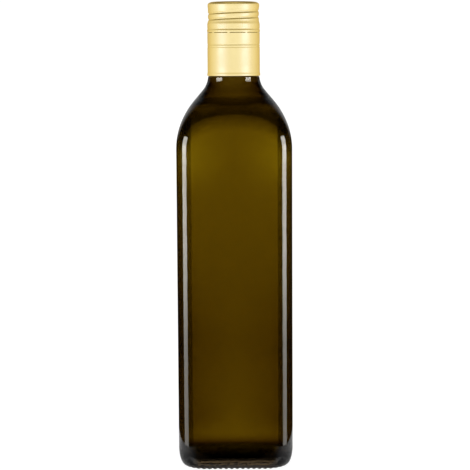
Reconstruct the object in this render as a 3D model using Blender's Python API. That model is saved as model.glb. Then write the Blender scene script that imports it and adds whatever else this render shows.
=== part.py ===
"""Square bottle of cooking oil in dark glass, closed with a gold rolled-on aluminium cap.

Metres, +Z up. The origin is the middle of the base, on the surface that the bottle
stands on. The front face looks along -Y. The part is three pieces, all at rest on
one another: the glass, the oil in it, and the cap.
"""

import math

import bmesh
import bpy
from mathutils import Vector

MM = 0.001

# Glass, outside
BODY_HALF_WIDTH = 34.35 * MM
BODY_CORNER_RADIUS = 11.3 * MM
HEEL_WIDTH = 6.0 * MM
HEEL_HEIGHT = 13.0 * MM
BEARING_CORNER_RADIUS = 15.0 * MM
BEARING_WIDTH = 3.2 * MM
PUNT_DEPTH = 2.6 * MM
SHOULDER_HEIGHT = 192.2 * MM
SHOULDER_ARC_RADIUS = 43.0 * MM
SHOULDER_SLOPE = math.radians(40.0)
ROUND_HEIGHT = 222.5 * MM
NECK_RADIUS = 15.4 * MM
NECK_FILLET_RADIUS = 14.0 * MM
NECK_TOP = 234.4 * MM

# Glass, inside
WALL = 3.4 * MM
FLOOR_THICKNESS = 8.2 * MM
FLOOR_RISE = 1.2 * MM
INNER_HEEL_RADIUS = 6.0 * MM
BORE_RADIUS = 11.0 * MM
BORE_FILLET_RADIUS = 17.0 * MM

# Glass, the finish that the cap hides
FINISH_RADIUS = 14.85 * MM
FINISH_FOOT = 235.2 * MM
FINISH_STEP_FOOT = 261.5 * MM
THREAD_STEP_HEIGHT = 2.6 * MM
THREAD_LAND_RADIUS = 14.05 * MM
MOUTH_HEIGHT = 277.9 * MM
MOUTH_ROUNDING = 1.0 * MM

# Oil
OIL_GAP = 0.3 * MM
OIL_LEVEL = 240.0 * MM

# Cap
CAP_FOOT = 235.0 * MM
CAP_TOP = 279.5 * MM
CAP_CROWN = 0.25 * MM
CAP_RIM_RADIUS = 15.5 * MM
CAP_RIM_ROUNDING = 1.5 * MM
CAP_LAND_RADIUS = 15.3 * MM
CAP_SKIRT_RADIUS = 15.75 * MM
CAP_LIP_RADIUS = 15.95 * MM
CAP_WALL = 0.35 * MM
CAP_BORE_RADIUS = 14.45 * MM
CAP_TOP_THICKNESS = 0.8 * MM
CAP_BORE_TOP = 266.6 * MM
RIM_BAND_HEIGHT = 1.2 * MM
KNURL_TOP = 265.6 * MM
LIP_TOP = 236.4 * MM
LIP_FLARE_HEIGHT = 1.6 * MM
LIP_ROUNDING = 0.4 * MM
ROLL_HALF_HEIGHT = 0.65 * MM
ROLLED_RINGS = (
    (263.1 * MM, -0.10 * MM),
    (261.75 * MM, 0.20 * MM),
    (253.7 * MM, -0.20 * MM),
    (252.3 * MM, -0.15 * MM),
)
THREAD_TOP = 275.2 * MM
THREAD_FOOT = 267.4 * MM
THREAD_PITCH = 3.5 * MM
THREAD_DEPTH = 0.45 * MM
THREAD_WIDTH = 2.1 * MM
THREAD_FRONT_HEIGHT = 269.4 * MM
THREAD_FIRST_TURN = -0.45
THREAD_LAST_TURN = 1.6
THREAD_FADE_TURNS = 0.12
SLIT_HEIGHT = 260.8 * MM
SLIT_WIDTH = 0.55 * MM
SLIT_COUNT = 9
BRIDGE_WIDTH = 1.3 * MM
FIRST_BRIDGE_ANGLE = math.radians(259.0)

# How finely the curves are divided
FLAT_STEPS = 4
CORNER_STEPS = 4
HEEL_STEPS = 6
SHOULDER_STEPS = 7
FILLET_STEPS = 5
PUNT_STEPS = 3
ROUNDING_STEPS = 3
CAP_COLUMNS = 56
THREAD_RINGS = 11
SLIT_STEPS = 6

FRONT_ANGLE = math.radians(270.0)
QUARTER_TURN = math.pi / 2
FULL_TURN = 2 * math.pi


def clear_scene():
    for thing in list(bpy.data.objects):
        bpy.data.objects.remove(thing, do_unlink=True)


def steps(count):
    """Fractions from 0 to 1, both included, in this many steps."""
    return [step / count for step in range(count + 1)]


def column_angles():
    """Directions of the glass's columns: even steps on the flat faces, even turns in the corners."""
    straight = BODY_HALF_WIDTH - BODY_CORNER_RADIUS
    octant = []
    for step in range(FLAT_STEPS):
        octant.append(math.atan2(straight * step / FLAT_STEPS, BODY_HALF_WIDTH))
    for fraction in steps(CORNER_STEPS):
        turn = QUARTER_TURN / 2 * fraction
        x = straight + BODY_CORNER_RADIUS * math.cos(turn)
        y = straight + BODY_CORNER_RADIUS * math.sin(turn)
        octant.append(math.atan2(y, x))
    quadrant = octant + [QUARTER_TURN - angle for angle in reversed(octant[1:-1])]
    return [quarter * QUARTER_TURN + angle for quarter in range(4) for angle in quadrant]


def square_reach(angle, half_width, corner_radius):
    """Distance from the axis to the outline of a square with rounded corners, in one direction."""
    half_turn = QUARTER_TURN / 2
    folded = abs((angle + half_turn) % QUARTER_TURN - half_turn)
    straight = half_width - corner_radius
    if half_width * math.tan(folded) <= straight:
        return half_width / math.cos(folded)
    along = straight * (math.cos(folded) + math.sin(folded))
    aside = straight * (math.cos(folded) - math.sin(folded))
    return along + math.sqrt(corner_radius**2 - aside**2)


def point_at(angle, reach, height):
    return Vector((reach * math.cos(angle), reach * math.sin(angle), height))


def square_ring(half_width, corner_radius, height):
    return [
        point_at(angle, square_reach(angle, half_width, corner_radius), height)
        for angle in column_angles()
    ]


def round_ring(radius, height):
    return [point_at(angle, radius, height) for angle in column_angles()]


def shoulder_rings(half_width, corner_radius, arc_radius):
    """The shoulder's rings, from its foot up the arc and the cone to where they are round.

    They start as the body's square with rounded corners. The corners grow rounder on the
    way up, slowly at first, so the four faces keep their width well into the arc.
    """
    profile = []
    for fraction in steps(SHOULDER_STEPS):
        tilt = SHOULDER_SLOPE * fraction
        height = SHOULDER_HEIGHT + arc_radius * math.sin(tilt)
        profile.append((half_width - arc_radius * (1 - math.cos(tilt)), height))
    cone_half_width, cone_height = profile[-1]
    narrowing = (ROUND_HEIGHT - cone_height) * math.tan(SHOULDER_SLOPE)
    profile.append((cone_half_width - narrowing, ROUND_HEIGHT))
    rings = []
    for ring_half_width, height in profile:
        roundness = ((height - SHOULDER_HEIGHT) / (ROUND_HEIGHT - SHOULDER_HEIGHT)) ** 3
        corner = corner_radius + (ring_half_width - corner_radius) * roundness
        rings.append(square_ring(ring_half_width, corner, height))
    return rings


def neck_rings(neck_radius, fillet_radius, half_width, arc_radius):
    """The hollow curve from the shoulder's cone up into the straight neck."""
    cone_reach = half_width - arc_radius * (1 - math.cos(SHOULDER_SLOPE))
    cone_height = SHOULDER_HEIGHT + arc_radius * math.sin(SHOULDER_SLOPE)
    meeting_height = cone_height + (cone_reach - neck_radius) / math.tan(SHOULDER_SLOPE)
    fillet_top = meeting_height + fillet_radius * math.tan(SHOULDER_SLOPE / 2)
    rings = []
    for fraction in steps(FILLET_STEPS):
        tilt = SHOULDER_SLOPE * (1 - fraction)
        radius = neck_radius + fillet_radius * (1 - math.cos(tilt))
        rings.append(round_ring(radius, fillet_top - fillet_radius * math.sin(tilt)))
    return rings


def base_rings():
    """The underside, from its raised middle out to the flat ring that the bottle stands on."""
    rings = []
    bearing_half_width = BODY_HALF_WIDTH - HEEL_WIDTH
    punt_half_width = bearing_half_width - BEARING_WIDTH
    for fraction in steps(PUNT_STEPS)[1:]:
        height = PUNT_DEPTH * (1 - fraction**2)
        half_width = punt_half_width * fraction
        roundness = 1 - fraction * (1 - BEARING_CORNER_RADIUS / punt_half_width)
        rings.append(square_ring(half_width, half_width * roundness, height))
    return rings


def heel_rings():
    """The outer heel: a quarter ellipse from the bearing ring up to the flat body."""
    rings = []
    for fraction in steps(HEEL_STEPS):
        turn = QUARTER_TURN * fraction
        half_width = BODY_HALF_WIDTH - HEEL_WIDTH * (1 - math.sin(turn))
        corner = BEARING_CORNER_RADIUS
        corner += (BODY_CORNER_RADIUS - BEARING_CORNER_RADIUS) * math.sin(turn)
        rings.append(square_ring(half_width, corner, HEEL_HEIGHT * (1 - math.cos(turn))))
    return rings


def finish_rings():
    """The plain neck under the cap, up to the rounded mouth."""
    rings = [
        round_ring(FINISH_RADIUS, FINISH_FOOT),
        round_ring(FINISH_RADIUS, FINISH_STEP_FOOT),
        round_ring(THREAD_LAND_RADIUS, FINISH_STEP_FOOT + THREAD_STEP_HEIGHT),
    ]
    for fraction in steps(ROUNDING_STEPS):
        turn = QUARTER_TURN * fraction
        radius = THREAD_LAND_RADIUS - MOUTH_ROUNDING * (1 - math.cos(turn))
        rings.append(round_ring(radius, MOUTH_HEIGHT - MOUTH_ROUNDING * (1 - math.sin(turn))))
    return rings


def cavity_rings(wall):
    """The inside of the bottle, from the middle of its floor up to the straight bore.

    The wall is what lies between this surface and the outside, so a thicker one gives the
    outline of something that fits in the cavity with a gap all round.
    """
    extra = wall - WALL
    half_width = BODY_HALF_WIDTH - wall
    corner_radius = BODY_CORNER_RADIUS - wall
    arc_radius = SHOULDER_ARC_RADIUS - wall
    heel_radius = INNER_HEEL_RADIUS - extra
    floor = FLOOR_THICKNESS + extra
    floor_half_width = half_width - heel_radius
    rings = []
    for fraction in steps(PUNT_STEPS)[1:]:
        height = floor + FLOOR_RISE * (1 - fraction**2)
        ring_half_width = floor_half_width * fraction
        roundness = 1 - fraction * (1 - corner_radius / floor_half_width)
        rings.append(square_ring(ring_half_width, ring_half_width * roundness, height))
    for fraction in steps(HEEL_STEPS)[1:]:
        turn = QUARTER_TURN * fraction
        ring_half_width = floor_half_width + heel_radius * math.sin(turn)
        height = floor + heel_radius * (1 - math.cos(turn))
        rings.append(square_ring(ring_half_width, corner_radius, height))
    rings += shoulder_rings(half_width, corner_radius, arc_radius)
    fillet_radius = BORE_FILLET_RADIUS + extra
    rings += neck_rings(BORE_RADIUS - extra, fillet_radius, half_width, arc_radius)
    return rings


def skin(name, rings):
    """A closed mesh through the rings, with a fan of triangles over the first and the last."""
    shape = bmesh.new()
    rows = [[shape.verts.new(point) for point in ring] for ring in rings]
    for lower, upper in zip(rows, rows[1:]):
        for index in range(len(lower)):
            after = (index + 1) % len(lower)
            shape.faces.new((lower[index], lower[after], upper[after], upper[index]))
    for row in (rows[0], rows[-1]):
        middle = sum((corner.co for corner in row), Vector()) / len(row)
        hub = shape.verts.new(middle)
        for index in range(len(row)):
            shape.faces.new((row[index], row[(index + 1) % len(row)], hub))
    bmesh.ops.recalc_face_normals(shape, faces=shape.faces)
    mesh = bpy.data.meshes.new(name)
    shape.to_mesh(mesh)
    shape.free()
    return mesh


def add_object(name, mesh, material, sharp_degrees):
    mesh.materials.append(material)
    mesh.shade_smooth()
    mesh.set_sharp_from_angle(angle=math.radians(sharp_degrees))
    piece = bpy.data.objects.new(name, mesh)
    bpy.context.scene.collection.objects.link(piece)
    return piece


def plain_material(name, colour, metallic, roughness, transmission=0.0):
    material = bpy.data.materials.new(name)
    material.use_nodes = True
    shader = material.node_tree.nodes["Principled BSDF"]
    shader.inputs["Base Color"].default_value = (*colour, 1.0)
    shader.inputs["Metallic"].default_value = metallic
    shader.inputs["Roughness"].default_value = roughness
    shader.inputs["Transmission Weight"].default_value = transmission
    material.diffuse_color = (*colour, 1.0)
    return material


def make_glass_bottle():
    outside = base_rings() + heel_rings()
    outside += shoulder_rings(BODY_HALF_WIDTH, BODY_CORNER_RADIUS, SHOULDER_ARC_RADIUS)
    for ring in neck_rings(
        NECK_RADIUS, NECK_FILLET_RADIUS, BODY_HALF_WIDTH, SHOULDER_ARC_RADIUS
    ):
        if ring[0].z < NECK_TOP:
            outside.append(ring)
    outside.append(round_ring(NECK_RADIUS, NECK_TOP))
    outside += finish_rings()
    inside = cavity_rings(WALL)
    inside.append(round_ring(BORE_RADIUS, MOUTH_HEIGHT - MOUTH_ROUNDING))
    inside.append(round_ring(BORE_RADIUS + MOUTH_ROUNDING / 2, MOUTH_HEIGHT))
    mesh = skin("glass_bottle", outside + inside[::-1])
    colour = (0.060, 0.042, 0.004)
    material = plain_material("bottle_glass", colour, 0.0, 0.05, transmission=0.6)
    return add_object("glass_bottle", mesh, material, 50)


def make_oil():
    rings = cavity_rings(WALL + OIL_GAP)
    rings.append(round_ring(BORE_RADIUS - OIL_GAP, OIL_LEVEL))
    mesh = skin("olive_oil", rings)
    material = plain_material("oil", (0.45, 0.33, 0.02), 0.0, 0.05, transmission=0.6)
    return add_object("olive_oil", mesh, material, 50)


def thread_groove(angle, height):
    """Depth of the rolled thread at a point of the cap: one groove that climbs round it."""
    deepest = 0.0
    turns_from_front = (angle - FRONT_ANGLE) / FULL_TURN
    for whole_turn in range(-1, 4):
        turn = turns_from_front + whole_turn
        from_end = min(turn - THREAD_FIRST_TURN, THREAD_LAST_TURN - turn)
        if from_end <= 0:
            continue
        fade = min(1.0, from_end / THREAD_FADE_TURNS)
        offset = abs(height - THREAD_FRONT_HEIGHT - THREAD_PITCH * turn) / (THREAD_WIDTH / 2)
        if offset < 1:
            depth = THREAD_DEPTH * fade * math.cos(QUARTER_TURN * offset) ** 2
            deepest = max(deepest, depth)
    return deepest


def cap_ring(radius, height):
    ring = []
    for column in range(CAP_COLUMNS):
        angle = FULL_TURN * column / CAP_COLUMNS
        ring.append(point_at(angle, radius - thread_groove(angle, height), height))
    return ring


def cap_top_rings():
    """The crown and its rounded rim."""
    rim_reach = CAP_RIM_RADIUS - CAP_RIM_ROUNDING
    rings = []
    for fraction in steps(PUNT_STEPS)[1:-1]:
        height = CAP_TOP - CAP_CROWN * fraction**2
        rings.append(cap_ring(rim_reach * fraction, height))
    for fraction in steps(ROUNDING_STEPS):
        turn = QUARTER_TURN * (1 - fraction)
        radius = rim_reach + CAP_RIM_ROUNDING * math.cos(turn)
        drop = CAP_CROWN + CAP_RIM_ROUNDING * (1 - math.sin(turn))
        rings.append(cap_ring(radius, CAP_TOP - drop))
    return rings


def rolled_ring(height, rise):
    """Three rings round the skirt: a bead where the rise is positive, a groove where it isn't."""
    return [
        cap_ring(CAP_SKIRT_RADIUS, height + ROLL_HALF_HEIGHT),
        cap_ring(CAP_SKIRT_RADIUS + rise, height),
        cap_ring(CAP_SKIRT_RADIUS, height - ROLL_HALF_HEIGHT),
    ]


def cap_side_rings():
    """The side, from under the rim down to the lip: thread, bead, slits, band and skirt."""
    rings = [cap_ring(CAP_RIM_RADIUS, THREAD_TOP + RIM_BAND_HEIGHT)]
    for fraction in steps(THREAD_RINGS):
        height = THREAD_TOP + (THREAD_FOOT - THREAD_TOP) * fraction
        rings.append(cap_ring(CAP_LAND_RADIUS, height))
    rings.append(cap_ring(CAP_SKIRT_RADIUS, KNURL_TOP))
    for height, rise in ROLLED_RINGS:
        rings += rolled_ring(height, rise)
    rings += [
        cap_ring(CAP_SKIRT_RADIUS, LIP_TOP + LIP_FLARE_HEIGHT),
        cap_ring(CAP_LIP_RADIUS, LIP_TOP),
        cap_ring(CAP_LIP_RADIUS, CAP_FOOT + LIP_ROUNDING),
        cap_ring(CAP_LIP_RADIUS - LIP_ROUNDING / 4, CAP_FOOT),
    ]
    return rings


def cap_bore_rings():
    """The inside, from the lip up to the underside of the crown."""
    skirt_bore = CAP_SKIRT_RADIUS - CAP_WALL
    ceiling = CAP_TOP - CAP_TOP_THICKNESS
    return [
        cap_ring(CAP_LIP_RADIUS - CAP_WALL, CAP_FOOT),
        cap_ring(skirt_bore, LIP_TOP + LIP_FLARE_HEIGHT),
        cap_ring(skirt_bore, FINISH_STEP_FOOT),
        cap_ring(CAP_BORE_RADIUS, CAP_BORE_TOP),
        cap_ring(CAP_BORE_RADIUS, ceiling),
    ]


def slit_cutter():
    """Arc-shaped blades that pierce the side, with a narrow bridge left between each two."""
    shape = bmesh.new()
    inner = CAP_SKIRT_RADIUS - 3 * CAP_WALL
    outer = CAP_SKIRT_RADIUS + 2 * CAP_WALL
    pitch = FULL_TURN / SLIT_COUNT
    bridge = BRIDGE_WIDTH / CAP_SKIRT_RADIUS
    low = SLIT_HEIGHT - SLIT_WIDTH / 2
    high = SLIT_HEIGHT + SLIT_WIDTH / 2
    for slit in range(SLIT_COUNT):
        start = FIRST_BRIDGE_ANGLE + pitch * slit + bridge / 2
        sections = []
        for fraction in steps(SLIT_STEPS):
            angle = start + (pitch - bridge) * fraction
            corners = [(inner, low), (outer, low), (outer, high), (inner, high)]
            sections.append([shape.verts.new(point_at(angle, r, z)) for r, z in corners])
        for before, after in zip(sections, sections[1:]):
            for side in range(4):
                beside = (side + 1) % 4
                shape.faces.new((before[side], after[side], after[beside], before[beside]))
        shape.faces.new(sections[0])
        shape.faces.new(sections[-1][::-1])
    bmesh.ops.recalc_face_normals(shape, faces=shape.faces)
    mesh = bpy.data.meshes.new("slit_cutter")
    shape.to_mesh(mesh)
    shape.free()
    cutter = bpy.data.objects.new("slit_cutter", mesh)
    bpy.context.scene.collection.objects.link(cutter)
    cutter.hide_render = True
    cutter.display_type = "WIRE"
    return cutter


def make_screw_cap():
    rings = cap_top_rings() + cap_side_rings() + cap_bore_rings()
    mesh = skin("screw_cap", rings)
    material = plain_material("gold_aluminium", (0.85, 0.68, 0.32), 1.0, 0.35)
    cap = add_object("screw_cap", mesh, material, 40)
    cut = cap.modifiers.new("slits", "BOOLEAN")
    cut.operation = "DIFFERENCE"
    cut.solver = "EXACT"
    cut.object = slit_cutter()
    return cap


clear_scene()
make_glass_bottle()
make_oil()
make_screw_cap()
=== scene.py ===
# %% [markdown]
# A square bottle of olive oil, lit as in a small photo studio.
#
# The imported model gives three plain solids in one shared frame: the glass, the oil in it
# and the cap. This lesson builds a finer mesh for each of them, gives each a procedural
# material, and then sets up the light. Sizes are in metres where nothing else is said.

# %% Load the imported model
import math

import bpy
import numpy as np
from mathutils import Matrix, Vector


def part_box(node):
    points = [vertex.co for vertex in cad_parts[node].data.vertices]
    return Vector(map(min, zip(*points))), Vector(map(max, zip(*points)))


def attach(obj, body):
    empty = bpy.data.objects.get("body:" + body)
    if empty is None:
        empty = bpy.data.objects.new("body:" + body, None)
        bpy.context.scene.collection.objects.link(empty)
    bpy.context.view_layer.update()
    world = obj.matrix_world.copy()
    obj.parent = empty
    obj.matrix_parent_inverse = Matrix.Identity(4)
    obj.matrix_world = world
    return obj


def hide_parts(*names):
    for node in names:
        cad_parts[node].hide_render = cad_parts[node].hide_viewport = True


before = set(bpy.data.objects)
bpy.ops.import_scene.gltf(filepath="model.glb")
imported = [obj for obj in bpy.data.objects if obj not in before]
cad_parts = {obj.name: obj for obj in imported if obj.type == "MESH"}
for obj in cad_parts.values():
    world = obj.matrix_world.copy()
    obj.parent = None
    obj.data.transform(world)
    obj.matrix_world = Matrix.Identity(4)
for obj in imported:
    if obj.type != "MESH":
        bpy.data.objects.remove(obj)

MM = 0.001
QUARTER_TURN = math.pi / 2
FULL_TURN = 2 * math.pi
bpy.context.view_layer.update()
glass_low, glass_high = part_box("glass_bottle")
oil_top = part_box("olive_oil")[1].z
cap_low, cap_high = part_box("screw_cap")
print("the bottle is", round((cap_high.z - glass_low.z) / MM, 1), "mm tall")

# %% [markdown]
# The camera comes first, because everything after it is judged through it. A product
# picture like this is taken with a long lens from about a metre away, a little above the
# middle of the bottle and looking slightly down, so the sides stay nearly parallel.

# %% Camera
CAMERA_PLACE = (0.0002, -1.000, 0.251)
LOOK_DOWN = math.radians(6.43)
ROLL = math.radians(0.33)
LENS_MM = 126.4

camera = bpy.data.objects.new("camera", bpy.data.cameras.new("camera"))
bpy.context.scene.collection.objects.link(camera)
camera.data.lens = LENS_MM
camera.data.clip_start = 0.05
camera.matrix_world = (
    Matrix.Translation(CAMERA_PLACE)
    @ Matrix.Rotation(QUARTER_TURN - LOOK_DOWN, 4, "X")
    @ Matrix.Rotation(-ROLL, 4, "Z")
)
bpy.context.scene.camera = camera
print("camera at", CAMERA_PLACE, "with a", LENS_MM, "mm lens")

# %% [markdown]
# Bottle and oil are both lofts: rings of points stacked up and joined with faces. A ring
# needs the same number of points whether it is round, as at the neck, or a square with
# round corners, as in the body. So every ring shares one list of directions, spaced
# evenly round the body's outline, and a formula gives the distance in each direction.

# %% Rings that can be round or square
BODY_HALF_WIDTH = glass_high.x
BODY_CORNER_RADIUS = 11.3 * MM
FLAT_STEPS = 30
CORNER_STEPS = 16


def even_directions():
    """Angles whose rays cut the body's outline into even steps, all the way round."""
    straight = BODY_HALF_WIDTH - BODY_CORNER_RADIUS
    flat = np.arctan2(straight * np.arange(FLAT_STEPS) / FLAT_STEPS, BODY_HALF_WIDTH)
    turns = QUARTER_TURN / 2 * np.arange(CORNER_STEPS + 1) / CORNER_STEPS
    across = straight + BODY_CORNER_RADIUS * np.cos(turns)
    along = straight + BODY_CORNER_RADIUS * np.sin(turns)
    octant = np.concatenate([flat, np.arctan2(along, across)])
    quadrant = np.concatenate([octant, QUARTER_TURN - octant[-2:0:-1]])
    return np.concatenate([quadrant + quarter * QUARTER_TURN for quarter in range(4)])


DIRECTIONS = even_directions()
FROM_FACE = np.abs((DIRECTIONS + QUARTER_TURN / 2) % QUARTER_TURN - QUARTER_TURN / 2)


def square_reach(half_width, corner_radius):
    """Distance from the axis to the outline of a square with round corners."""
    straight = half_width - corner_radius
    along = straight * (np.cos(FROM_FACE) + np.sin(FROM_FACE))
    aside = straight * (np.cos(FROM_FACE) - np.sin(FROM_FACE))
    corner = along + np.sqrt(np.maximum(corner_radius**2 - aside**2, 0))
    flat = half_width * np.tan(FROM_FACE) <= straight
    return np.where(flat, half_width / np.cos(FROM_FACE), corner)


def ring_at(reach, height):
    """Points of one ring, from a reach and a height that may both differ by direction."""
    reach = np.broadcast_to(reach, DIRECTIONS.shape)
    height = np.broadcast_to(height, DIRECTIONS.shape)
    return np.stack([reach * np.cos(DIRECTIONS), reach * np.sin(DIRECTIONS), height], axis=1)


print(len(DIRECTIONS), "points in each ring")

# %% [markdown]
# The shoulder rises from the flat sides through a wide arc into a cone that leans in at 40
# degrees. All of its rings are level. Their corners get rounder on the way up, slowly at
# first, until the last one is a circle. The same rings, moved in by the wall's thickness,
# make the inside.

# %% Shoulder
SHOULDER_HEIGHT = 192.2 * MM
SHOULDER_ARC_RADIUS = 43.0 * MM
SHOULDER_SLOPE = math.radians(40.0)
ROUND_HEIGHT = 222.5 * MM
CONE_STEPS = 5
SHOULDER_STEPS = 26


def fractions(count):
    return [step / count for step in range(count + 1)]


def shoulder_rings(wall):
    """The shoulder's rings, from its foot up the arc and the cone until they are round."""
    half_width = BODY_HALF_WIDTH - wall
    arc_radius = SHOULDER_ARC_RADIUS - wall
    steps = []
    for fraction in fractions(SHOULDER_STEPS):
        lean = SHOULDER_SLOPE * fraction
        height = SHOULDER_HEIGHT + arc_radius * math.sin(lean)
        steps.append((half_width - arc_radius * (1 - math.cos(lean)), height))
    cone_half_width, cone_height = steps[-1]
    for fraction in fractions(CONE_STEPS)[1:]:
        rise = (ROUND_HEIGHT - cone_height) * fraction
        steps.append((cone_half_width - rise * math.tan(SHOULDER_SLOPE), cone_height + rise))
    rings = []
    for half_width, height in steps:
        roundness = min(1.0, (height - SHOULDER_HEIGHT) / (ROUND_HEIGHT - SHOULDER_HEIGHT)) ** 3
        corner_radius = BODY_CORNER_RADIUS - wall
        corner_radius += (half_width - corner_radius) * roundness
        rings.append(ring_at(square_reach(half_width, corner_radius), height))
    return rings


print("the shoulder starts", round(SHOULDER_HEIGHT / MM, 1), "mm above the table")

# %% [markdown]
# The neck is a straight tube. A hollow curve joins it to the cone without a kink: it is a
# part of a circle that touches both. One function makes the rings of the outside, where
# the wall is 0, and of the inside, which has its own two radii.

# %% Neck
FILLET_STEPS = 14


def neck_rings(wall, neck_radius, fillet_radius):
    """The hollow curve that leads from the cone up into the straight neck."""
    arc_radius = SHOULDER_ARC_RADIUS - wall
    cone_reach = BODY_HALF_WIDTH - wall - arc_radius * (1 - math.cos(SHOULDER_SLOPE))
    cone_height = SHOULDER_HEIGHT + arc_radius * math.sin(SHOULDER_SLOPE)
    meeting = cone_height + (cone_reach - neck_radius) / math.tan(SHOULDER_SLOPE)
    top = meeting + fillet_radius * math.tan(SHOULDER_SLOPE / 2)
    rings = []
    for fraction in fractions(FILLET_STEPS):
        lean = SHOULDER_SLOPE * (1 - fraction)
        radius = neck_radius + fillet_radius * (1 - math.cos(lean))
        rings.append(ring_at(radius, top - fillet_radius * math.sin(lean)))
    return rings


print("a curve of", FILLET_STEPS, "steps joins the cone and the neck")

# %% [markdown]
# The foot of a bottle is never smooth. Its heel rounds under, a flat ring carries the
# weight, and moulded ribs across that ring keep the hot glass off the belt. The ribs are
# real geometry here, because they show as small teeth where the bottle meets the table.

# %% Underside, ribs and heel
HEEL_WIDTH = 4.5 * MM
HEEL_HEIGHT = 13.0 * MM
BEARING_CORNER_RADIUS = 15.0 * MM
BEARING_WIDTH = 3.2 * MM
PUNT_DEPTH = 2.6 * MM
RIB_PITCH = 3.3 * MM
RIB_DEPTH = 0.8 * MM
RIB_FADE_HEIGHT = 2.4 * MM
PUNT_RINGS = 12
BEARING_RINGS = 4
HEEL_RINGS = 26


def rib_wave():
    """0 on a rib and 1 in the groove beside it, by direction, with a whole number of ribs."""
    reach = square_reach(BODY_HALF_WIDTH - HEEL_WIDTH, BEARING_CORNER_RADIUS)
    points = np.stack([reach * np.cos(DIRECTIONS), reach * np.sin(DIRECTIONS)], axis=1)
    step = np.linalg.norm(np.roll(points, -1, axis=0) - points, axis=1)
    travelled = np.concatenate([[0.0], np.cumsum(step)[:-1]])
    count = round(step.sum() / RIB_PITCH)
    wave = 0.5 - 0.5 * np.cos(FULL_TURN * count * travelled / step.sum())
    return wave, count


RIB_WAVE, RIB_COUNT = rib_wave()


def base_rings():
    """From the middle of the raised underside, over the ribbed ring, and up the heel."""
    rings = []
    bearing = BODY_HALF_WIDTH - HEEL_WIDTH
    punt = bearing - BEARING_WIDTH
    for fraction in fractions(PUNT_RINGS)[1:]:
        half_width = punt * fraction
        corner = half_width * (1 - fraction * (1 - BEARING_CORNER_RADIUS / punt))
        rings.append(ring_at(square_reach(half_width, corner), PUNT_DEPTH * (1 - fraction**2)))
    for fraction in fractions(BEARING_RINGS)[1:-1]:
        reach = square_reach(punt + BEARING_WIDTH * fraction, BEARING_CORNER_RADIUS)
        rings.append(ring_at(reach, RIB_DEPTH * RIB_WAVE * math.sin(QUARTER_TURN * fraction)))
    for fraction in fractions(HEEL_RINGS):
        turn = QUARTER_TURN * fraction
        half_width = BODY_HALF_WIDTH - HEEL_WIDTH * (1 - math.sin(turn))
        corner = BEARING_CORNER_RADIUS
        corner += (BODY_CORNER_RADIUS - BEARING_CORNER_RADIUS) * math.sin(turn)
        height = HEEL_HEIGHT * (1 - math.cos(turn))
        ribs = RIB_DEPTH * RIB_WAVE * max(0.0, 1 - height / RIB_FADE_HEIGHT)
        rings.append(ring_at(square_reach(half_width, corner), height + ribs))
    return rings


print(RIB_COUNT, "ribs round the foot, one every", RIB_PITCH / MM, "mm")

# %% [markdown]
# Blown glass is never even. Here the wall is thicker in the lower half, and thinner at both
# sides just below the shoulder, where the lit panel is paler. Two tables give a height and
# the extra thickness at it, both in millimetres: one for the middle of each face, and one
# for what its sides add. A painted map would do as well, but tables are easy to change.

# %% Uneven wall
UNEVEN_FOOT = 14.3 * MM
UNEVEN_TOP = 214 * MM
MIDDLE_WALL = (
    (14, 0.0), (20, 0.10), (26, 0.34), (33, 0.48), (50, 0.62), (66, 0.72), (73, 0.82), (88, 0.67),
    (103, 0.57), (127, 0.43), (145, 0.30), (163, 0.21), (188, 0.0), (215, 0.0),
)
SIDE_WALL = (
    (14, 0.3), (20, 0.9), (26, 0.9), (33, 0.60), (45, 0.45), (75, 0.42), (85, 0.35), (96, 0.24),
    (112, 0.09), (125, 0.0), (158, -0.05), (168, -0.15), (176, -0.50), (184, -0.70), (190, -0.66),
    (197, -0.40), (206, 0.0), (215, 0.0),
)
SIDE_REACH = 23.0 * MM
SIDE_LIMIT = 1.08
SIDE_CURVE = 1.3


def thicken(ring):
    """Moves a ring of the inside in or out, so that the wall's thickness varies as blown."""
    if not UNEVEN_FOOT < ring[0, 2] < UNEVEN_TOP:
        return ring
    height = ring[0, 2] / MM
    half_width = ring[0, 0]
    aside = np.minimum(half_width * np.tan(FROM_FACE) / SIDE_REACH, SIDE_LIMIT)
    middle = np.interp(height, *zip(*MIDDLE_WALL))
    extra = middle + np.interp(height, *zip(*SIDE_WALL)) * aside**SIDE_CURVE
    ring[:, :2] *= 1 - extra[:, None] * MM / half_width
    return ring


print("the wall is up to", max(extra for height, extra in MIDDLE_WALL), "mm thicker in the middle")

# %% [markdown]
# The inside is a second stack of rings, from the middle of the floor upwards. The floor is
# thick and rises a little in the middle, like the underside below it. Glass and oil both
# use this stack, the oil with a slightly thinner wall, so the two always fit.

# %% Cavity
WALL = 3.4 * MM
FLOOR_THICKNESS = 8.2 * MM
FLOOR_RISE = 1.2 * MM
INNER_HEEL_RADIUS = 6.0 * MM
BORE_RADIUS = 11.0 * MM
BORE_FILLET_RADIUS = 17.0 * MM
FLOOR_RINGS = 12
INNER_HEEL_RINGS = 16
SIDE_HEIGHTS = np.arange(20.0, 190.0, 6.0)


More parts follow.
